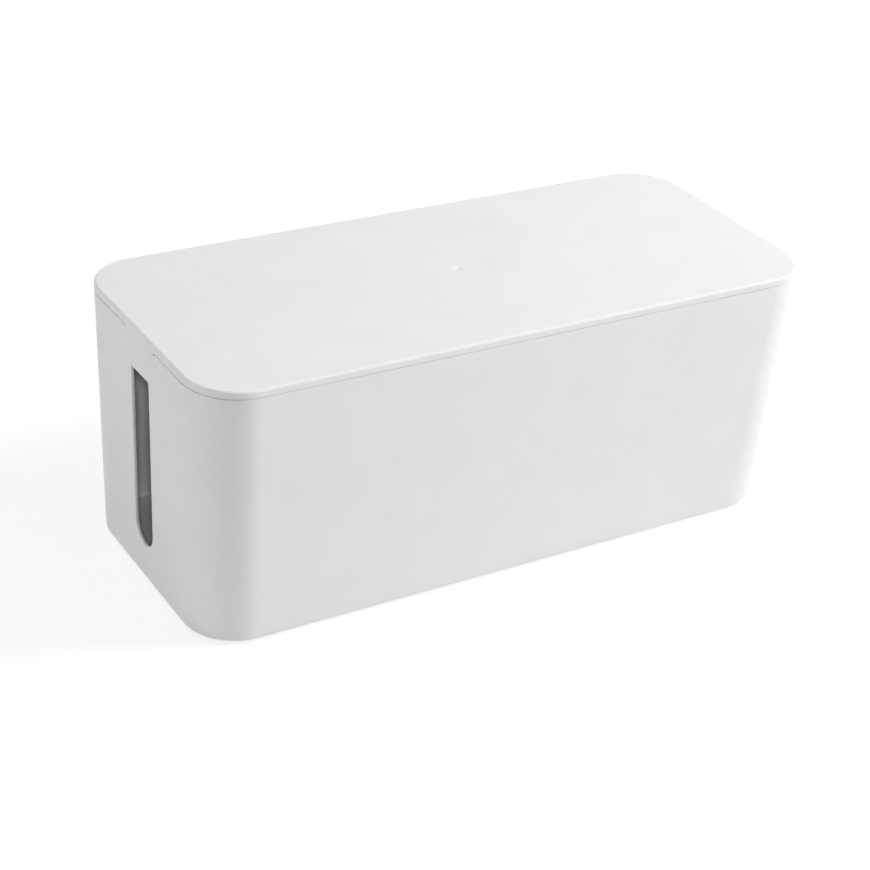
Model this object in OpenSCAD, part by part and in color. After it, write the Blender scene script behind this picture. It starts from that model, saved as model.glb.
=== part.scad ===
// Cable management box: an open box with a cable slot in each end wall, a
// lift-off lid whose end tabs close the tops of the slots, and four rubber
// feet. A power strip lies inside, and its leads leave through the slots.
//
// Millimetres. X runs along the box, Y from front to back, and Z points up.
// The origin is on the surface that the feet stand on, under the middle of
// the box. The walls lean inward towards the base, as a moulding's do.

/* [Box] */
// Length over the rim, end to end
box_l = 400; // [320:5:460]
// Width over the rim, front to back
box_w = 170; // [140:2:200]
// Height from the underside of the body to the top of the lid
box_h = 159.5; // [120:0.5:180]
// Radius of the four upright corners
corner_r = 31; // [24:1:40]
// How far each end wall leans inward between the rim and the base
end_inset = 5; // [3:0.2:9]
// How far each long wall leans inward between the rim and the base
side_inset = 4; // [2:0.2:8]
// Thickness of the upright walls
wall_t = 2.2; // [1.8:0.1:3]
// Thickness of the floor
floor_t = 2.5; // [2:0.1:4]
// Bevel round the outside of the base
base_bevel = 1.6; // [0.8:0.1:2.2]
// Bevel between the floor and the walls, inside
floor_bevel = 2.6; // [1:0.1:5]

/* [Cable slots] */
// Width of the cable slot in each end wall
slot_w = 22.6; // [16:0.2:34]
// Height of a slot's round lower end above the underside of the body
slot_low = 23; // [14:0.2:50]
// Radius of the flare where a slot meets the rim
flare_r = 15; // [6:0.5:18]
// How far the flare's circles stand above the rim, so that it has no feather edge
flare_lift = 0.2; // [0.2:0.1:0.6]

/* [Lid] */
// Height of the lid's outer edge
lid_edge_h = 4.4; // [2.8:0.1:5]
// Thickness of the lid's plate
lid_t = 2.4; // [1.8:0.1:2.8]
// Rounding of the lid's top edge
lid_edge_r = 1.5; // [1:0.1:2.6]
// How far each end tab hangs below the rim
tab_drop = 22.5; // [18:0.5:40]
// Gap between a tab's edges and the slot
tab_gap = 0.25; // [0.15:0.05:0.6]
// Depth of the locating lip under the lid
lip_h = 5; // [3:0.5:8]
// Thickness of the locating lip
lip_t = 1.6; // [1.2:0.1:2.4]
// Gap between the locating lip and the walls, at the lip's lower edge
lip_gap = 0.35; // [0.2:0.05:0.8]
// Thickness of the two ribs behind each tab
rib_t = 1.6; // [1.2:0.1:2.4]
// How far the ribs stand in from a tab
rib_reach = 6; // [3:0.5:10]
// Diameter of the moulding dimple in the middle of the lid
dimple_d = 6; // [4:0.5:10]
// Depth of the moulding dimple
dimple_depth = 0.45; // [0.2:0.05:0.8]

/* [Seam] */
// Height of the shadow gap between the lid's edge and the rim
seam_h = 0.45; // [0.2:0.05:1]
// Depth of the shadow gap
seam_depth = 0.9; // [0.4:0.1:1.4]

/* [Feet] */
// Diameter of a foot
foot_d = 16; // [10:1:22]
// How far a foot stands proud of the underside
foot_proud = 1.5; // [1:0.1:4]
// Depth of the pocket that a foot is seated in
foot_seat = 1; // [0.5:0.1:1.4]
// Gap round a foot in its pocket
foot_gap = 0.25; // [0.1:0.05:0.6]
// Distance of a foot's centre from the edges of the base
foot_inset = 24; // [20:1:40]
// Bevel of a foot's lower edge
foot_bevel = 0.5; // [0.2:0.1:0.9]

/* [Hidden] */
$fn = 96;

// Heights
underside_z = foot_proud;
floor_z = underside_z + floor_t;
top_z = underside_z + box_h;
rim_z = top_z - lid_edge_h;
wall_h = rim_z - underside_z;
tab_low_z = rim_z - tab_drop;
lip_low_z = rim_z - lip_h;
flare_z = rim_z + flare_lift - flare_r;
slot_round_z = underside_z + slot_low + slot_w / 2;

// How far the walls lean from upright
end_lean = atan(end_inset / wall_h);
side_lean = atan(side_inset / wall_h);

// A cut runs this far past the surface that it opens
past = 4;
// A root reaches this far into the plate that it grows from
root = 0.5;

// Half the length and half the width at height z, with the walls moved out by out
function half_l(z, out = 0) = box_l / 2 - (rim_z - z) * tan(end_lean) + out / cos(end_lean);
function half_w(z, out = 0) = box_w / 2 - (rim_z - z) * tan(side_lean) + out / cos(side_lean);

// The locating lip's outer outline
lip_half_l = half_l(lip_low_z, -wall_t) - lip_gap;
lip_half_w = half_w(lip_low_z, -wall_t) - lip_gap;
lip_r = corner_r - wall_t - lip_gap;

// Copies its children to all four corners
module at_corners() {
    for (flip_x = [0, 1], flip_y = [0, 1])
        mirror([flip_x, 0, 0])
            mirror([0, flip_y, 0])
                children();
}

// Copies its children to both ends
module at_ends() {
    for (flip_x = [0, 1])
        mirror([flip_x, 0, 0])
            children();
}

// Extrudes an outline drawn in Y and Z along X, from x0 to x1
module along_x(x0, x1) {
    translate([x0, 0, 0])
        rotate([90, 0, 90])
            linear_extrude(height = x1 - x0)
                children();
}

// Extrudes an outline drawn in X and Z along Y, from y0 to y1
module along_y(y0, y1) {
    translate([0, y1, 0])
        rotate([90, 0, 0])
            linear_extrude(height = y1 - y0)
                children();
}

// A symmetrical trapezoid, b0 either side at height z0 and b1 at height z1
module trapezoid(b0, z0, b1, z1) {
    polygon([[-b0, z0], [b0, z0], [b1, z1], [-b1, z1]]);
}

// What rounding one upright corner takes off, along its slanted edge
module corner_waste(out) {
    r = corner_r + out;
    reach = 2 * r;
    // The long wall's normal, seen along the edge, is this far from square
    skew = asin(sin(side_lean) * sin(end_lean));
    translate([box_l / 2 - corner_r / cos(end_lean), box_w / 2 - corner_r / cos(side_lean), rim_z])
        rotate([-atan(tan(side_lean) * cos(end_lean)), end_lean, 0])
            linear_extrude(height = 3 * box_h, center = true)
                difference() {
                    polygon([[0, 0], [reach, 0], [reach, reach], [reach * sin(skew), reach * cos(skew)]]);
                    circle(r = r);
                }
}

// What a 45 degree bevel round the foot of a leaning block takes off
module bevel_waste(z0, out, bevel) {
    l = half_l(z0, out) - bevel;
    w = half_w(z0, out) - bevel;
    r = corner_r + out - bevel;
    h = bevel + past;
    difference() {
        translate([-l - 2 * h, -w - 2 * h, z0 - h])
            cube([2 * l + 4 * h, 2 * w + 4 * h, 2 * h]);
        intersection() {
            along_y(-w - h, w + h)
                trapezoid(l - h, z0 - h, l + h, z0 + h);
            along_x(-l - h, l + h)
                trapezoid(w - h, z0 - h, w + h, z0 + h);
        }
    }
    at_corners()
        difference() {
            translate([l - r, w - r, z0 - h])
                cube([r + 2 * h, r + 2 * h, 2 * h]);
            translate([l - r, w - r, z0 - h])
                cylinder(h = 2 * h, r1 = r - h, r2 = r + h);
        }
}

// A block between heights z0 and z1 whose walls lean inward towards its foot
module leaning_block(z0, z1, out, bevel) {
    difference() {
        intersection() {
            along_y(-box_w, box_w)
                trapezoid(half_l(z0, out), z0, half_l(z1, out), z1);
            along_x(-box_l, box_l)
                trapezoid(half_w(z0, out), z0, half_w(z1, out), z1);
        }
        at_corners()
            corner_waste(out);
        bevel_waste(z0, out, bevel);
    }
}

// An upright slab with round corners
module rounded_slab(l, w, r, h) {
    linear_extrude(height = h)
        union() {
            square([2 * l, 2 * (w - r)], center = true);
            square([2 * (l - r), 2 * w], center = true);
            at_corners()
                translate([l - r, w - r])
                    circle(r = r);
        }
}

// Circles that flare the slot or the tab out towards the rim
module flare_circles(gap) {
    for (side = [-1, 1])
        translate([side * (slot_w / 2 + flare_r), flare_z])
            circle(r = flare_r + gap);
}

// The slot in an end wall, in Y and Z
module slot_outline() {
    translate([0, slot_round_z])
        circle(d = slot_w);
    translate([-slot_w / 2, slot_round_z])
        square([slot_w, rim_z + past - slot_round_z]);
    difference() {
        translate([-slot_w / 2 - flare_r, flare_z])
            square([slot_w + 2 * flare_r, rim_z + past - flare_z]);
        flare_circles(0);
    }
}

// A lid tab, in Y and Z, up to its root in the lid's plate
module tab_outline() {
    half = slot_w / 2 - tab_gap;
    translate([-half, tab_low_z])
        square([2 * half, rim_z + root - tab_low_z]);
    difference() {
        translate([-half - flare_r / 2, flare_z])
            square([2 * half + flare_r, rim_z + root - flare_z]);
        flare_circles(tab_gap);
    }
}

// A lid tab's section, in X and Z: flush with the end wall, as thick as it
module tab_section() {
    polygon([
        [half_l(tab_low_z), tab_low_z],
        [half_l(rim_z), rim_z],
        [half_l(rim_z) - root, rim_z + root],
        [half_l(rim_z) - wall_t, rim_z + root],
        [half_l(tab_low_z, -wall_t), tab_low_z]
    ]);
}

// One end tab with the ribs and the block that tie it to the locating lip
module tab() {
    rib_low_z = tab_low_z + wall_t;
    intersection() {
        along_x(0, box_l)
            tab_outline();
        along_y(-box_w / 2, box_w / 2)
            tab_section();
    }
    along_y(-slot_w / 2 + tab_gap, slot_w / 2 - tab_gap)
        polygon([
            [lip_half_l - lip_t, lip_low_z],
            [half_l(lip_low_z, -wall_t / 2), lip_low_z],
            [half_l(rim_z, -wall_t / 2), rim_z],
            [half_l(rim_z, -wall_t / 2), rim_z + root],
            [lip_half_l - lip_t, rim_z + root]
        ]);
    for (y = [-slot_w / 4, slot_w / 4])
        along_y(y - rib_t / 2, y + rib_t / 2)
            polygon([
                [half_l(rib_low_z, -wall_t / 2), rib_low_z],
                [half_l(rim_z, -wall_t / 2), rim_z + root],
                [half_l(rim_z, -wall_t) - rib_reach, rim_z + root],
                [half_l(rim_z, -wall_t) - rib_reach, lip_low_z],
                [half_l(rib_low_z, -wall_t), rib_low_z]
            ]);
}

// What rounding takes off a square edge whose point is at the origin
module edge_waste() {
    translate([-lid_edge_r, -lid_edge_r])
        difference() {
            square(2 * lid_edge_r);
            circle(r = lid_edge_r);
        }
}

// The plate's section with both upper edges rounded, b either side of the middle
module rounded_top(b) {
    difference() {
        translate([-b, rim_z])
            square([2 * b, lid_edge_h]);
        for (flip = [0, 1])
            mirror([flip, 0])
                translate([b, top_z])
                    edge_waste();
    }
}

// One round corner of the lid's plate
module lid_corner() {
    translate([box_l / 2 - corner_r, box_w / 2 - corner_r, rim_z])
        rotate_extrude()
            difference() {
                square([corner_r, lid_edge_h]);
                translate([corner_r, lid_edge_h])
                    edge_waste();
            }
}

// The lid's plate, with its top edge rounded
module lid_plate() {
    along_x(-box_l / 2 + corner_r, box_l / 2 - corner_r)
        rounded_top(box_w / 2);
    along_y(-box_w / 2 + corner_r, box_w / 2 - corner_r)
        rounded_top(box_l / 2);
    at_corners()
        lid_corner();
}

module body() {
    color("whitesmoke")
        difference() {
            leaning_block(underside_z, rim_z, 0, base_bevel);
            leaning_block(floor_z, rim_z + past, -wall_t, floor_bevel);
            // Shadow gap: the rim's outer band stands lower than the rest
            difference() {
                translate([-box_l, -box_w, rim_z - seam_h])
                    cube([2 * box_l, 2 * box_w, seam_h + past]);
                translate([0, 0, rim_z - seam_h - past])
                    rounded_slab(box_l / 2 - seam_depth, box_w / 2 - seam_depth, corner_r - seam_depth, seam_h + 3 * past);
            }
            at_ends()
                along_x(half_l(underside_z, -wall_t) - past, box_l / 2 + past)
                    slot_outline();
            at_corners()
                translate([half_l(underside_z) - foot_inset, half_w(underside_z) - foot_inset, underside_z - past])
                    cylinder(h = foot_seat + past, d = foot_d + 2 * foot_gap);
        }
}

module lid() {
    plate_z = top_z - lid_t;
    dimple_r = (dimple_d * dimple_d / 4 + dimple_depth * dimple_depth) / (2 * dimple_depth);
    color("white")
        difference() {
            union() {
                lid_plate();
                translate([0, 0, lip_low_z])
                    rounded_slab(lip_half_l, lip_half_w, lip_r, lip_h + root);
            }
            translate([0, 0, lip_low_z - past])
                rounded_slab(lip_half_l - lip_t, lip_half_w - lip_t, lip_r - lip_t, plate_z - lip_low_z + past);
            translate([0, 0, top_z - dimple_depth + dimple_r])
                sphere(r = dimple_r);
        }
    color("white")
        at_ends()
            tab();
}

// A round rubber foot with a bevelled lower edge, towards the given corner
module foot(side_x, side_y) {
    translate([side_x * (half_l(underside_z) - foot_inset), side_y * (half_w(underside_z) - foot_inset), 0])
        color("dimgray")
            rotate_extrude()
                polygon([
                    [0, 0],
                    [foot_d / 2 - foot_bevel, 0],
                    [foot_d / 2, foot_bevel],
                    [foot_d / 2, underside_z + foot_seat],
                    [0, underside_z + foot_seat]
                ]);
}

module foot_front_left() {
    foot(-1, -1);
}

module foot_front_right() {
    foot(1, -1);
}

module foot_rear_left() {
    foot(-1, 1);
}

module foot_rear_right() {
    foot(1, 1);
}

body();
lid();
foot_front_left();
foot_front_right();
foot_rear_left();
foot_rear_right();
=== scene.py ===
import math

import bmesh
import bpy
from mathutils import Matrix, Vector


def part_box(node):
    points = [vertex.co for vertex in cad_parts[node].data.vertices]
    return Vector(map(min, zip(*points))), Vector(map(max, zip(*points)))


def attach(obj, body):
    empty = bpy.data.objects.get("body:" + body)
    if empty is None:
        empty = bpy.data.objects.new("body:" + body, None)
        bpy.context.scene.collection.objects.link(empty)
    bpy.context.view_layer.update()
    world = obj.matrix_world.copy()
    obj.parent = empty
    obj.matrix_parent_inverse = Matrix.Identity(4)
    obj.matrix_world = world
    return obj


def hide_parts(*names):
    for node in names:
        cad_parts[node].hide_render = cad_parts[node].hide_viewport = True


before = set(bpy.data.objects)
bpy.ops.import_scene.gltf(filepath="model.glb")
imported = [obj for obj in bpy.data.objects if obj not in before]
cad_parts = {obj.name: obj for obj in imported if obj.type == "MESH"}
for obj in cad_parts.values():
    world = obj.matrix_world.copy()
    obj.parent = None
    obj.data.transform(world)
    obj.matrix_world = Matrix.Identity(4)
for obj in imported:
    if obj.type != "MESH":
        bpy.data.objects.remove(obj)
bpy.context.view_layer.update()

MM = 0.001


def node_box(node):
    """The lowest and the highest corner of a node's solids, in millimetres."""
    return [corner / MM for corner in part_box(node)]


def as_object(name, data):
    """A new object in the scene."""
    obj = bpy.data.objects.new(name, data)
    bpy.context.scene.collection.objects.link(obj)
    return obj


# ---------------------------------------------------------------- sizes, in millimetres
# The outer sizes come from the frame. The rest repeat the part's own driving dimensions, apart
# from the small roundings, the shadow gap's heights, TAB_GAP and the profiles of dimple and sole.
FEET = ("foot_front_left", "foot_front_right", "foot_rear_left", "foot_rear_right")
body_low, body_high = node_box("body")
lid_low, lid_high = node_box("lid")
BOX_L = lid_high.x - lid_low.x
BOX_W = lid_high.y - lid_low.y
UNDERSIDE_Z = body_low.z
RIM_Z = body_high.z
TOP_Z = lid_high.z
TAB_LOW_Z = lid_low.z

# The walls, which lean in by the insets between the rim and the base, and the inner floor
CORNER_R = 31.0
END_INSET = 5.0
SIDE_INSET = 4.0
WALL_T = 2.2
FLOOR_T = 2.5
BASE_ROUND = 2.2
FLOOR_ROUND = 2.6

# The shadow gap under the lid is wider at the ends, where the rim dips a little
SEAM_H_END = 0.7
SEAM_H_SIDE = 0.36
SEAM_DEPTH = 0.9
RIM_ROUND = 0.25

# The slot in each end wall, and the circles that flare it into the rim
SLOT_W = 22.6
SLOT_LOW = 23.0
FLARE_R = 15.0
FLARE_LIFT = 0.2
# Edges are crisp where the tab fills the slot, and soften within OPEN_FADE of the tab's lower end
SNUG_ROUND = 0.12
OPEN_ROUND = 0.8
OPEN_FADE = 3.0

# The lid's plate, the lip under it, and its tabs with the ribs behind them
LID_T = 2.4
LID_EDGE_R = 1.5
LIP_H = 5.0
LIP_T = 1.6
LIP_GAP = 0.35
LIP_EDGE_ROUND = 0.4
TAB_GAP = 0.15
TAB_ROUND = 0.9
RIB_T = 1.6
RIB_REACH = 6.0
# How far the lid's pieces reach into each other
ROOT = 0.5
# How far below the lip the cut that hollows the plate starts
CUT_MARGIN = 1.0

# Radius and depth of the moulding dimple's rings, from its mouth to the stub in its middle
DIMPLE_R = 3.0
DIMPLE_DEPTH = 0.45
DIMPLE_PROFILE = [
    (DIMPLE_R, 0.0), (2.9, 0.02), (2.75, 0.08), (2.4, 0.27), (2.1, 0.39), (1.85, DIMPLE_DEPTH),
    (0.95, DIMPLE_DEPTH), (0.8, 0.4), (0.7, 0.24), (0.55, 0.16), (0.3, 0.13),
]

# The feet and the pockets that they are seated in
FOOT_GAP = 0.25
FOOT_ROUND = 0.5
FOOT_TOP_ROUND = 0.2
POCKET_ROUND = 0.2
# Radius and height of the sole, from the groove to the dished middle
SOLE_PROFILE = [
    (6.3, 0.0), (6.2, 0.06), (6.05, 0.24), (5.65, 0.24), (5.5, 0.06), (5.4, 0.0),
    (4.4, 0.0), (4.2, 0.03), (3.6, 0.12), (2.6, 0.21), (1.3, 0.27),
]

# How many straight steps each curve is drawn with
CORNER_STEPS = 24
ROUND_STEPS = 4
BASE_STEPS = 8
FLOOR_STEPS = 6
LID_EDGE_STEPS = 8
DIMPLE_STEPS = 48
POCKET_STEPS = 40
FOOT_STEPS = 56
SLOT_STEPS = 16
FLARE_STEPS = 20
# The flare's steps across the shadow gap, and those over which its edge turns crisp below it
FLARE_GAP_STEPS = 4
FLARE_FADE_STEPS = 5
# Points that are closer than this become one
WELD_GAP = 0.0001

# What follows from them
FLOOR_Z = UNDERSIDE_Z + FLOOR_T
SEAM_Z = RIM_Z - SEAM_H_END
SLOT_ROUND_Z = UNDERSIDE_Z + SLOT_LOW + SLOT_W / 2
FLARE_Y = SLOT_W / 2 + FLARE_R
FLARE_Z = RIM_Z + FLARE_LIFT - FLARE_R
END_LEAN = math.atan(END_INSET / (RIM_Z - UNDERSIDE_Z))
SIDE_LEAN = math.atan(SIDE_INSET / (RIM_Z - UNDERSIDE_Z))
# An end wall's thickness along X
THICK_X = WALL_T / math.cos(END_LEAN)


def half_l(z, out=0.0):
    """Half the box's length at height z, with its end walls moved out by out."""
    return BOX_L / 2 - (RIM_Z - z) * math.tan(END_LEAN) + out / math.cos(END_LEAN)


def half_w(z, out=0.0):
    """Half the box's width at height z, with its long walls moved out by out."""
    return BOX_W / 2 - (RIM_Z - z) * math.tan(SIDE_LEAN) + out / math.cos(SIDE_LEAN)


LIP_LOW_Z = RIM_Z - LIP_H
LIP_HALF_L = half_l(LIP_LOW_Z, -WALL_T) - LIP_GAP
LIP_HALF_W = half_w(LIP_LOW_Z, -WALL_T) - LIP_GAP
LIP_R = CORNER_R - WALL_T - LIP_GAP


# ---------------------------------------------------------------- camera
# The photograph's view, found from the box's edges in its 870 by 870 frame
IMAGE_SIZE = 870
FOCAL_PX = 2059.8
MIDDLE_PX = (447.3, 392.0)
SENSOR = 36
YAW, PITCH, ROLL = (math.radians(angle) for angle in (33.607, 28.541, 4.896))
# In metres: how far the camera is from the point that it faces, near the middle of the box
DISTANCE = 1.23166
TARGET = Vector((0, 0, 0.0795))


def make_camera():
    """The camera that the photograph was taken with."""
    ahead = Vector((
        math.sin(YAW) * math.cos(PITCH),
        math.cos(YAW) * math.cos(PITCH),
        -math.sin(PITCH),
    ))
    level = Vector((math.cos(YAW), -math.sin(YAW), 0))
    upright = level.cross(ahead)
    right = math.cos(ROLL) * level + math.sin(ROLL) * upright
    up = math.cos(ROLL) * upright - math.sin(ROLL) * level
    data = bpy.data.cameras.new("camera")
    data.sensor_width = SENSOR
    data.lens = FOCAL_PX / IMAGE_SIZE * SENSOR
    data.shift_x = (IMAGE_SIZE / 2 - MIDDLE_PX[0]) / IMAGE_SIZE
    data.shift_y = (MIDDLE_PX[1] - IMAGE_SIZE / 2) / IMAGE_SIZE
    camera = as_object("camera", data)
    turn = Matrix((right, up, -ahead)).transposed()
    camera.matrix_world = Matrix.Translation(TARGET - ahead * DISTANCE) @ turn.to_4x4()
    bpy.context.scene.camera = camera


# ---------------------------------------------------------------- curves and meshes
def even_steps(total, steps):
    """Numbers from 0 to total in even steps."""
    return [total * step / steps for step in range(steps + 1)]


def leaning_corner(z, out, inset):
    """The corner at +X +Y at height z: a cylinder that leans with both of its walls, cut level.

    The walls are moved out by out, and the points are then moved in, level, by inset.
    """
    end_normal = Vector((math.cos(END_LEAN), 0, -math.sin(END_LEAN)))
    edge = Vector((math.tan(END_LEAN), math.tan(SIDE_LEAN), 1)).normalized()
    across = edge.cross(end_normal)
    sweep = math.pi / 2 - math.asin(math.sin(END_LEAN) * math.sin(SIDE_LEAN))
    points = []
    for turn in even_steps(sweep, CORNER_STEPS):
        spoke = (math.cos(turn) * end_normal + math.sin(turn) * across) * (CORNER_R + out)
        axis_z = z - spoke.z
        point = Vector((
            half_l(axis_z) - CORNER_R / math.cos(END_LEAN) + spoke.x,
            half_w(axis_z) - CORNER_R / math.cos(SIDE_LEAN) + spoke.y,
            z,
        ))
        points.append(point - Vector((spoke.x, spoke.y, 0)).normalized() * inset)
    return points


def four_corners(corner):
    """The corner at +X +Y copied to all four, anticlockwise seen from above."""
    def flipped(x, y):
        return [Vector((p.x * x, p.y * y, p.z)) for p in corner]
    return [flipped(1, 1), flipped(-1, 1)[::-1], flipped(-1, -1), flipped(1, -1)[::-1]]


def all_round(corner):
    """The points of all four corners as one row."""
    return [p for part in four_corners(corner) for p in part]


def rounded_ring(z, half_length, half_width, r):
    """A level rectangle with round corners, as one row of points."""
    return all_round([
        Vector((half_length - r + r * math.cos(turn), half_width - r + r * math.sin(turn), z))
        for turn in even_steps(math.pi / 2, CORNER_STEPS)
    ])


def rounding(r, steps=ROUND_STEPS):
    """A quarter round: how far each step is below the edge, and in from it."""
    return [
        (r * (1 - math.sin(turn)), r * (1 - math.cos(turn)))
        for turn in even_steps(math.pi / 2, steps)
    ]


# Directions in the plane of an end wall, as turns from +Y towards +Z
TO_MINUS_Y = math.pi
STRAIGHT_DOWN = 1.5 * math.pi


def arc(centre_y, centre_z, r, start, stop, steps):
    """Points of an arc in Y and Z, with the direction out of its centre at each."""
    made = []
    for turn in even_steps(stop - start, steps):
        way = (math.cos(start + turn), math.sin(start + turn))
        made.append(((centre_y + r * way[0], centre_z + r * way[1]), way))
    return made


def on_end_wall(y, z, depth):
    """The point of the +X end wall at this depth below its outer face."""
    return Vector((half_l(z) - depth / WALL_T * THICK_X, y, z))


class Shell:
    """Points and faces of a mesh, in millimetres."""

    def __init__(self):
        self.points = []
        self.faces = []

    def row(self, points):
        """Adds points, and gives back the row of their numbers."""
        start = len(self.points)
        self.points += points
        return list(range(start, len(self.points)))

    def face(self, row):
        self.faces.append(tuple(row))

    def strip(self, below, above, closed=True):
        """Quads between two rows of as many points."""
        for i in range(len(below) if closed else len(below) - 1):
            j = (i + 1) % len(below)
            self.faces.append((below[i], below[j], above[j], above[i]))

    def stack(self, rows):
        """Quads between each closed row and the next."""
        for below, above in zip(rows, rows[1:]):
            self.strip(below, above)

    def turned(self, profile, steps, centre=Vector((0, 0, 0))):
        """The rings that a profile of radius and height makes when it turns about an upright axis."""
        rings = []
        for r, z in profile:
            rings.append(self.row([
                Vector((centre.x + r * math.cos(turn), centre.y + r * math.sin(turn), z))
                for turn in even_steps(2 * math.pi, steps)[:-1]
            ]))
        self.stack(rings)
        return rings

    def fill(self, outer, holes):
        """A flat face with round holes in it."""
        mesh = bmesh.new()
        for loop in [outer, *holes]:
            verts = [mesh.verts.new(self.points[i]) for i in loop]
            for a, b in zip(verts, verts[1:] + verts[:1]):
                mesh.edges.new((a, b))
        bmesh.ops.triangle_fill(mesh, use_beauty=True, edges=mesh.edges)
        mesh.verts.index_update()
        numbers = [i for loop in [outer, *holes] for i in loop]
        self.faces += [tuple(numbers[v.index] for v in f.verts) for f in mesh.faces]
        mesh.free()

    def mesh(self, name):
        """The mesh in metres, welded, with its faces turned outwards."""
        data = bpy.data.meshes.new(name)
        data.from_pydata([p * MM for p in self.points], [], self.faces)
        welded = bmesh.new()
        welded.from_mesh(data)
        bmesh.ops.remove_doubles(welded, verts=welded.verts, dist=WELD_GAP * MM)
        bmesh.ops.dissolve_degenerate(welded, edges=welded.edges, dist=WELD_GAP * MM)
        bmesh.ops.recalc_face_normals(welded, faces=welded.faces)
        welded.to_mesh(data)
        welded.free()
        return data


# ---------------------------------------------------------------- the body
def edge_profile(r, step_h):
    """Across the wall's edge, outside to inside: how far below the edge, and how far in.

    step_h is how far the outer band stands below the rest, which makes the shadow gap.
    """
    outer = [(drop + step_h, depth) for drop, depth in rounding(r)]
    band = [(step_h, SEAM_DEPTH), (0.0, SEAM_DEPTH)]
    inner = [(drop, WALL_T - depth) for drop, depth in rounding(r)[::-1]]
    return outer + band + inner


def slot_path():
    """The notch in an end wall, from -Y to +Y: place, way out of the wall's edge, radius, step.

    Between the two crossings of the flare, the outer band still runs level below the inner one.
    """
    rim_turn = math.asin((RIM_Z - FLARE_Z) / FLARE_R)
    seam_turn = math.asin((SEAM_Z - FLARE_Z) / FLARE_R)
    path = []
    for (y, z), way in arc(-FLARE_Y, FLARE_Z, FLARE_R, rim_turn, seam_turn, FLARE_GAP_STEPS):
        path.append(((y, z), way, RIM_ROUND, max(z - SEAM_Z, 0.0)))
    below_gap = arc(-FLARE_Y, FLARE_Z, FLARE_R, seam_turn, 0.0, FLARE_STEPS)[1:]
    for i, (at, way) in enumerate(below_gap):
        fade = min(1.0, (i + 1) / FLARE_FADE_STEPS)
        path.append((at, way, RIM_ROUND + (SNUG_ROUND - RIM_ROUND) * fade, 0.0))
    path.append(((-SLOT_W / 2, TAB_LOW_Z), (1.0, 0.0), SNUG_ROUND, 0.0))
    path.append(((-SLOT_W / 2, TAB_LOW_Z - OPEN_FADE), (1.0, 0.0), OPEN_ROUND, 0.0))
    for at, way in arc(0.0, SLOT_ROUND_Z, SLOT_W / 2, TO_MINUS_Y, STRAIGHT_DOWN, SLOT_STEPS):
        path.append((at, (-way[0], -way[1]), OPEN_ROUND, 0.0))
    back = [((-y, z), (-way[0], way[1]), r, step_h) for (y, z), way, r, step_h in path[:-1]]
    return path + back[::-1]


def slot_column(place, way, r, step_h):
    """The points across the wall's edge at one place of the notch, on the +X end."""
    column = []
    for drop, depth in edge_profile(r, step_h):
        # The band's own points are straight below the edge, and the others are square to it
        in_band = step_h > 0 and drop >= step_h
        way_y, way_z = (0.0, 1.0) if in_band else way
        column.append(on_end_wall(place[0] - way_y * drop, place[1] - way_z * drop, depth))
    return column


def rim_columns():
    """For each corner, the points across the rim at each of its steps."""
    rows = []
    profiles = zip(edge_profile(RIM_ROUND, SEAM_H_END), edge_profile(RIM_ROUND, SEAM_H_SIDE))
    for (end_drop, depth), (side_drop, _) in profiles:
        end_row = leaning_corner(RIM_Z - end_drop, 0.0, depth)
        side_row = leaning_corner(RIM_Z - side_drop, 0.0, depth)
        shares = even_steps(1.0, CORNER_STEPS)
        rows.append(four_corners([a.lerp(b, t) for a, b, t in zip(end_row, side_row, shares)]))
    return [
        [[row[corner][i] for row in rows] for i in range(CORNER_STEPS + 1)]
        for corner in range(4)
    ]


def make_body():
    """The open box: walls, floor, the two slots and the pockets for the feet."""
    shell = Shell()
    corners = [[shell.row(column) for column in corner] for corner in rim_columns()]
    ends = {}
    for side in (1, -1):
        flip = Vector((side, side, 1))
        columns = [[p * flip for p in slot_column(*at)] for at in slot_path()]
        ends[side] = [shell.row(column) for column in columns]
    edge = corners[0] + corners[1] + ends[-1] + corners[2] + corners[3] + ends[1]
    for a, b in zip(edge, edge[1:] + edge[:1]):
        shell.strip(a, b, closed=False)

    def level_row(z, out, inset):
        return shell.row(all_round(leaning_corner(z, out, inset)))

    def walls(base, layer):
        """The upright walls between a level row of the corners' points and one side of the edge."""
        n = CORNER_STEPS + 1
        parts = [base[i * n:(i + 1) * n] for i in range(4)]
        for low, high in zip(parts, corners):
            shell.strip(low, [column[layer] for column in high], closed=False)
        for a, b in ((0, 1), (2, 3)):
            shell.face([parts[a][-1], parts[b][0], corners[b][0][layer], corners[a][-1][layer]])
        for a, b, end in ((1, 2, -1), (3, 0, 1)):
            notch = [column[layer] for column in ends[end]]
            top = [corners[a][-1][layer], *notch, corners[b][0][layer]]
            shell.face([parts[a][-1], *top, parts[b][0]])

    outside = [
        level_row(UNDERSIDE_Z + drop, 0.0, depth) for drop, depth in rounding(BASE_ROUND, BASE_STEPS)
    ]
    inside = [
        level_row(FLOOR_Z + drop, -WALL_T, depth) for drop, depth in rounding(FLOOR_ROUND, FLOOR_STEPS)
    ]
    shell.stack(outside[::-1])
    shell.stack(inside[::-1])
    walls(outside[0], 0)
    walls(inside[0], -1)
    shell.face(inside[-1])
    shell.fill(outside[-1], foot_pockets(shell))
    return shell.mesh("body_shell")


def foot_pockets(shell):
    """The round pockets that the feet are seated in, and the rows that their mouths make."""
    mouths = []
    for node in FEET:
        low, high = node_box(node)
        r = (high.x - low.x) / 2 + FOOT_GAP
        profile = [(r + POCKET_ROUND, UNDERSIDE_Z), (r, UNDERSIDE_Z + POCKET_ROUND), (r, high.z)]
        rings = shell.turned(profile, POCKET_STEPS, (low + high) / 2)
        shell.face(rings[-1])
        mouths.append(rings[0])
    return mouths


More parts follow.
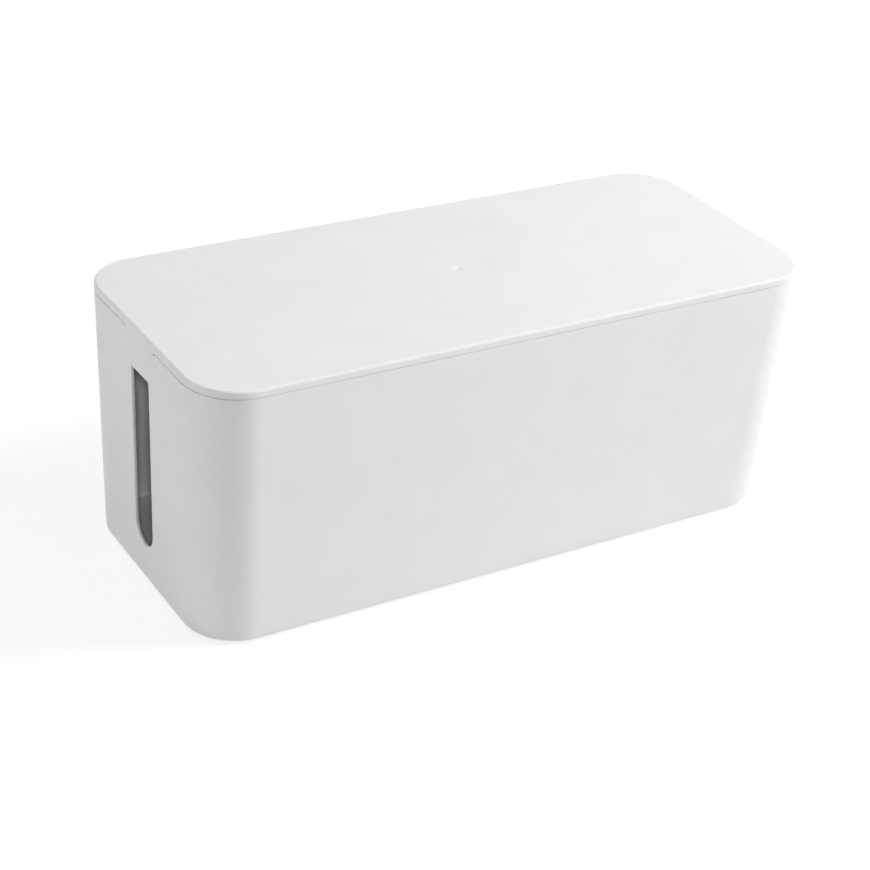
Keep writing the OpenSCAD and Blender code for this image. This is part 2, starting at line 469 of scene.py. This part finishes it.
def make_foot(node):
    """A rubber foot: rounded edges, a groove round its sole and a dished middle."""
    low, high = node_box(node)
    r = (high.x - low.x) / 2
    shell = Shell()
    profile = [(r - FOOT_TOP_ROUND, high.z), (r, high.z - FOOT_TOP_ROUND)]
    profile += [(r - depth, drop) for drop, depth in rounding(FOOT_ROUND)]
    profile += SOLE_PROFILE
    rings = shell.turned(profile, FOOT_STEPS, (low + high) / 2)
    shell.face(rings[0])
    shell.face(rings[-1])
    return shell.mesh(node + "_pad")


# ---------------------------------------------------------------- the lid
def make_plate():
    """The lid's plate, still solid down to the rim, with its rounded top edge and the dimple."""
    shell = Shell()

    def level_row(z, inset):
        return shell.row(rounded_ring(z, BOX_L / 2 - inset, BOX_W / 2 - inset, CORNER_R - inset))

    top = [level_row(TOP_Z - drop, depth) for drop, depth in rounding(LID_EDGE_R, LID_EDGE_STEPS)]
    low = level_row(RIM_Z, 0.0)
    shell.stack([low, *top])
    shell.face(low)
    rings = shell.turned([(r, TOP_Z - depth) for r, depth in DIMPLE_PROFILE], DIMPLE_STEPS)
    shell.face(rings[-1])
    shell.fill(top[-1], [rings[0]])
    return shell.mesh("plate")


def make_recess():
    """What is cut from under the plate, inside the lip, to leave it LID_T thick."""
    shell = Shell()
    rows = [
        shell.row(rounded_ring(z, LIP_HALF_L - LIP_T, LIP_HALF_W - LIP_T, LIP_R - LIP_T))
        for z in (LIP_LOW_Z - CUT_MARGIN, TOP_Z - LID_T)
    ]
    shell.stack(rows)
    shell.face(rows[0])
    shell.face(rows[1])
    return shell.mesh("recess")


def make_lip():
    """The ring under the plate that drops inside the walls. Its top is inside the plate."""
    shell = Shell()
    edge = rounding(LIP_EDGE_ROUND)
    section = [(RIM_Z + ROOT, 0.0)]
    section += [(LIP_LOW_Z + drop, depth) for drop, depth in edge]
    section += [(LIP_LOW_Z + drop, LIP_T - depth) for drop, depth in edge[::-1]]
    section += [(RIM_Z + ROOT, LIP_T)]
    rows = [
        shell.row(rounded_ring(z, LIP_HALF_L - inset, LIP_HALF_W - inset, LIP_R - inset))
        for z, inset in section
    ]
    shell.stack(rows + rows[:1])
    return shell.mesh("lip")


def tab_path():
    """A tab's outline from the rim at -Y round its lower edge to the rim at +Y: place, way, radius.

    The flare stops upright, short of a feather edge, so a speck of shadow shows at each end of it.
    """
    half = SLOT_W / 2 - TAB_GAP
    r = FLARE_R + TAB_GAP
    tip_y = -half - FLARE_R / 2
    tip_turn = math.acos((tip_y + FLARE_Y) / r)
    path = [((tip_y, RIM_Z), (-1.0, 0.0), SNUG_ROUND)]
    for at, way in arc(-FLARE_Y, FLARE_Z, r, tip_turn, 0.0, FLARE_STEPS):
        path.append((at, (-way[0], -way[1]), SNUG_ROUND))
    path.append(((-half, TAB_LOW_Z + OPEN_FADE), (-1.0, 0.0), SNUG_ROUND))
    corner = (-half + TAB_ROUND, TAB_LOW_Z + TAB_ROUND)
    for at, way in arc(*corner, TAB_ROUND, TO_MINUS_Y, STRAIGHT_DOWN, ROUND_STEPS):
        path.append((at, way, TAB_ROUND))
    back = [((-y, z), (-way[0], way[1]), r) for (y, z), way, r in path]
    return path + back[::-1]


def make_tab():
    """One end tab, flush with the end wall. Its upper end is inside the plate."""
    shell = Shell()
    columns = []
    for (y, z), way, r in tab_path():
        inner = [(drop, WALL_T - depth) for drop, depth in rounding(r)[::-1]]
        columns.append(shell.row([
            on_end_wall(y - way[0] * drop, z - way[1] * drop, depth)
            for drop, depth in rounding(r) + inner
        ]))
    for a, b in zip(columns, columns[1:]):
        shell.strip(a, b, closed=False)
    shell.face([column[0] for column in columns])
    shell.face([column[-1] for column in columns])
    # The root leans in from the face of the plate's edge
    first, last = columns[0], columns[-1]
    roots = []
    for column in (first, last):
        y = shell.points[column[len(column) // 2]].y
        roots.append(shell.row([
            Vector((half_l(RIM_Z) - depth, y, RIM_Z + ROOT)) for depth in (ROOT, WALL_T)
        ]))
        shell.face([*column, *roots[-1][::-1]])
    shell.face([first[0], last[0], roots[1][0], roots[0][0]])
    shell.face([first[-1], last[-1], roots[1][1], roots[0][1]])
    shell.face([roots[0][0], roots[1][0], roots[1][1], roots[0][1]])
    return shell.mesh("tab")


def extruded(outline, y0, y1, name):
    """A solid of one section, drawn in X and Z, between two places along Y."""
    shell = Shell()
    near = shell.row([Vector((x, y0, z)) for x, z in outline])
    far = shell.row([Vector((x, y1, z)) for x, z in outline])
    shell.strip(near, far)
    shell.face(near)
    shell.face(far)
    return shell.mesh(name)


def tab_supports():
    """The block that ties a tab to the lip, and the two ribs behind it. They start in mid tab."""
    deep = -WALL_T / 2
    half = SLOT_W / 2 - TAB_GAP
    rib_low_z = TAB_LOW_Z + WALL_T
    block_x = LIP_HALF_L - LIP_T
    rib_x = half_l(RIM_Z, -WALL_T) - RIB_REACH
    block = [
        (block_x, LIP_LOW_Z), (half_l(LIP_LOW_Z, deep), LIP_LOW_Z), (half_l(RIM_Z, deep), RIM_Z),
        (half_l(RIM_Z, deep), RIM_Z + ROOT), (block_x, RIM_Z + ROOT),
    ]
    rib = [
        (half_l(rib_low_z, deep), rib_low_z), (half_l(RIM_Z, deep), RIM_Z + ROOT),
        (rib_x, RIM_Z + ROOT), (rib_x, LIP_LOW_Z),
    ]
    made = [extruded(block, -half, half, "block")]
    for y in (-SLOT_W / 4, SLOT_W / 4):
        made.append(extruded(rib, y - RIB_T / 2, y + RIB_T / 2, "rib"))
    return made


def combine(target, data, operation):
    """Joins a mesh to the target object, or cuts it away from it."""
    tool = as_object("tool", data)
    cut = target.modifiers.new("cut", "BOOLEAN")
    cut.operation = operation
    cut.solver = "MANIFOLD"
    cut.object = tool
    graph = bpy.context.evaluated_depsgraph_get()
    result = bpy.data.meshes.new_from_object(target.evaluated_get(graph))
    target.modifiers.clear()
    target.data = result
    bpy.data.objects.remove(tool)


def turned_half(data):
    """The same mesh at the other end of the box."""
    copy = data.copy()
    copy.transform(Matrix.Rotation(math.pi, 4, "Z"))
    return copy


def make_lid():
    """The lid in one piece: plate, lip, and at each end a tab with its block and ribs."""
    lid = as_object("lid_shell", make_plate())
    combine(lid, make_recess(), "DIFFERENCE")
    combine(lid, make_lip(), "UNION")
    for data in [make_tab(), *tab_supports()]:
        combine(lid, turned_half(data), "UNION")
        combine(lid, data, "UNION")
    return lid


# Edges that turn by more than this stay sharp
SHARP_ANGLE = math.radians(35)


def finish_shape(obj, body, node):
    """Smooth shading that keeps flat faces flat, and the piece's place in the frame."""
    for face in obj.data.polygons:
        face.use_smooth = True
    obj.data.set_sharp_from_angle(angle=SHARP_ANGLE)
    even = obj.modifiers.new("even", "WEIGHTED_NORMAL")
    even.keep_sharp = True
    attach(obj, body)
    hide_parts(node)


# ---------------------------------------------------------------- materials
# Pairs run from the noise's low patches to its high ones. Sizes and depths are in millimetres.
PLASTIC_GREY = (0.818, 0.842)
PLASTIC_ROUGHNESS = (0.53, 0.46)
PLASTIC_IOR = 1.5
MOTTLE_SIZE = 30.0
MOTTLE_DETAIL = 5.0
WAVE_SIZE = 45.0
WAVE_DETAIL = 1.0
WAVE_DEPTH = 0.12
GRAIN_SIZE = 0.5
GRAIN_DEPTH = 0.01
RUBBER_GREY = (0.022, 0.036)
RUBBER_ROUGHNESS = (0.62, 0.78)
DUST_SIZE = 4.0
DUST_DETAIL = 4.0
RUBBER_GRAIN_SIZE = 0.4
RUBBER_GRAIN_DEPTH = 0.04
# The part of its range that a noise mostly keeps to
NOISE_LOW = 0.3
NOISE_HIGH = 0.7
# How far apart in the noise the lid is from the body, and the waves are from the mottle
LID_SHIFT = 20.0
WAVE_SHIFT = 5.0


class Material:
    """A material round one Principled shader, with a method for each kind of node that it needs."""

    def __init__(self, name):
        self.material = bpy.data.materials.new(name)
        self.material.use_nodes = True
        self.tree = self.material.node_tree
        self.shader = self.tree.nodes["Principled BSDF"]
        self.place = self.node("ShaderNodeTexCoord").outputs["Object"]

    def node(self, kind, **settings):
        made = self.tree.nodes.new(kind)
        for key, value in settings.items():
            setattr(made, key, value)
        return made

    def link(self, output, socket):
        self.tree.links.new(output, socket)

    def drive(self, name, output):
        """Links an output to the shader's input of that name."""
        self.link(output, self.shader.inputs[name])

    def noise(self, size, detail=2.0, shift=0.0):
        """Smooth noise from 0 to 1 whose blotches are about size across."""
        made = self.node("ShaderNodeTexNoise", noise_dimensions="4D")
        made.inputs["Scale"].default_value = 1 / (size * MM)
        made.inputs["Detail"].default_value = detail
        made.inputs["W"].default_value = shift
        self.link(self.place, made.inputs["Vector"])
        return made.outputs["Fac"]

    def ramp(self, value, low, high, start=0.0, stop=1.0, kind="LINEAR"):
        """Runs from low to high while the value runs from start to stop."""
        made = self.node("ShaderNodeMapRange", interpolation_type=kind)
        numbers = {"From Min": start, "From Max": stop, "To Min": low, "To Max": high}
        for name, number in numbers.items():
            made.inputs[name].default_value = number
        self.link(value, made.inputs["Value"])
        return made.outputs["Result"]

    def spread(self, noise, low, high):
        """The middle part of a noise, stretched to run from low to high."""
        return self.ramp(noise, low, high, NOISE_LOW, NOISE_HIGH)

    def grey(self, value):
        """A grey from a number."""
        made = self.node("ShaderNodeCombineColor")
        for channel in ("Red", "Green", "Blue"):
            self.link(value, made.inputs[channel])
        return made.outputs["Color"]

    def bump(self, height, depth, below=None):
        """A relief of this depth, over an earlier one."""
        made = self.node("ShaderNodeBump")
        made.inputs["Distance"].default_value = depth * MM
        self.link(height, made.inputs["Height"])
        if below:
            self.link(below, made.inputs["Normal"])
        return made.outputs["Normal"]


def white_plastic(name, shift):
    """Satin white moulded plastic: a fine spark-eroded grain, faint flow mottle and sink waves."""
    made = Material(name)
    mottle = made.noise(MOTTLE_SIZE, MOTTLE_DETAIL, shift)
    waves = made.noise(WAVE_SIZE, WAVE_DETAIL, shift + WAVE_SHIFT)
    grain = made.noise(GRAIN_SIZE, shift=shift)
    relief = made.bump(waves, WAVE_DEPTH)
    made.drive("Base Color", made.grey(made.spread(mottle, *PLASTIC_GREY)))
    made.drive("Roughness", made.spread(mottle, *PLASTIC_ROUGHNESS))
    made.drive("Normal", made.bump(grain, GRAIN_DEPTH, relief))
    made.shader.inputs["IOR"].default_value = PLASTIC_IOR
    return made.material


def rubber(name):
    """Matt dark rubber: a coarse grain and dusty patches."""
    made = Material(name)
    dust = made.noise(DUST_SIZE, DUST_DETAIL)
    grain = made.noise(RUBBER_GRAIN_SIZE)
    made.drive("Base Color", made.grey(made.spread(dust, *RUBBER_GREY)))
    made.drive("Roughness", made.spread(dust, *RUBBER_ROUGHNESS))
    made.drive("Normal", made.bump(grain, RUBBER_GRAIN_DEPTH))
    return made.material


def give(objects, material):
    """Makes this the objects' only material."""
    for obj in objects:
        obj.data.materials.clear()
        obj.data.materials.append(material)


# ---------------------------------------------------------------- floor and light, in metres
STAGE_REACH = 6.0
STAGE_ROUGHNESS = 0.9
# The share of light that the floor throws on the object, and the share that the camera sees
STAGE_WHITE = 0.9
STAGE_SEEN = 0.225
# How much the floor glows to the camera near the box, and how far out that reaches plain white
STAGE_GLOW = 0.80
STAGE_FADE = 1.1
WHITE = (1, 1, 1, 1)


def seen_directly(tree):
    """1 for what the camera sees, also by reflection or through glass, and 0 for what lights the box."""
    path = tree.nodes.new("ShaderNodeLightPath")
    total = path.outputs["Is Camera Ray"]
    for other in ("Is Glossy Ray", "Is Transmission Ray"):
        add = tree.nodes.new("ShaderNodeMath")
        add.use_clamp = True
        tree.links.new(total, add.inputs[0])
        tree.links.new(path.outputs[other], add.inputs[1])
        total = add.outputs["Value"]
    return total


def make_floor():
    """A white floor. The camera sees mostly its glow, so that the shadow on it is light and soft."""
    data = bpy.data.meshes.new("floor")
    sides = ((-1, -1), (1, -1), (1, 1), (-1, 1))
    data.from_pydata([(x * STAGE_REACH, y * STAGE_REACH, 0) for x, y in sides], [], [(0, 1, 2, 3)])
    floor = as_object("floor", data)
    paper = Material("floor")
    seen = seen_directly(paper.tree)
    away = paper.node("ShaderNodeVectorMath", operation="LENGTH")
    paper.link(paper.place, away.inputs[0])
    level = paper.ramp(
        away.outputs["Value"], STAGE_GLOW, 1.0, BOX_L / 2 * MM, STAGE_FADE, kind="SMOOTHSTEP",
    )
    glow = paper.node("ShaderNodeMath", operation="MULTIPLY")
    paper.link(seen, glow.inputs[0])
    paper.link(level, glow.inputs[1])
    paper.drive("Base Color", paper.grey(paper.ramp(seen, STAGE_WHITE, STAGE_SEEN)))
    paper.drive("Emission Strength", glow.outputs["Value"])
    paper.shader.inputs["Emission Color"].default_value = WHITE
    paper.shader.inputs["Roughness"].default_value = STAGE_ROUGHNESS
    data.materials.append(paper.material)


def make_world():
    """White to look at, and no light on the object."""
    world = bpy.data.worlds.new("world")
    bpy.context.scene.world = world
    world.use_nodes = True
    background = world.node_tree.nodes["Background"]
    background.inputs["Color"].default_value = WHITE
    world.node_tree.links.new(seen_directly(world.node_tree), background.inputs["Strength"])


def make_light(name, azimuth, elevation, distance, size, power, glossy=True):
    """A soft square lamp that faces the box. Azimuth 0 is in front of it, and 90 at its right end."""
    a, e = math.radians(azimuth), math.radians(elevation)
    way = Vector((math.sin(a) * math.cos(e), -math.cos(a) * math.cos(e), math.sin(e)))
    data = bpy.data.lights.new(name, "AREA")
    data.shape = "SQUARE"
    data.size = size
    data.energy = power
    lamp = as_object(name, data)
    turn = (-way).to_track_quat("-Z", "Y").to_matrix()
    lamp.matrix_world = Matrix.Translation(way * distance + TARGET) @ turn.to_4x4()
    lamp.visible_glossy = glossy


# ---------------------------------------------------------------- the scene
make_camera()

body = as_object("body_shell", make_body())
lid = make_lid()
feet = [as_object(node + "_pad", make_foot(node)) for node in FEET]
finish_shape(body, "box", "body")
finish_shape(lid, "lid", "lid")
for foot, node in zip(feet, FEET):
    finish_shape(foot, "box", node)

give([body], white_plastic("body_plastic", 0.0))
give([lid], white_plastic("lid_plastic", LID_SHIFT))
give(feet, rubber("foot_rubber"))

make_floor()
make_world()
# Key, end and fill are kept out of reflections: seen from behind, their glare clipped the lid's top
make_light("key", azimuth=65, elevation=40, distance=2.3, size=0.6, power=45.5, glossy=False)
make_light("overhead", azimuth=0, elevation=89, distance=2.5, size=1.2, power=13.5)
make_light("rear", azimuth=-130, elevation=65, distance=2.5, size=1.2, power=7)
make_light("end", azimuth=-120, elevation=5, distance=2.5, size=0.3, power=15.5, glossy=False)
# Seen from the left slot, the fill is straight behind the camera, so it lights what shows there
make_light("fill", azimuth=-29, elevation=29.6, distance=2.4, size=0.15, power=11.5, glossy=False)

bpy.context.scene.view_settings.view_transform = "Standard"
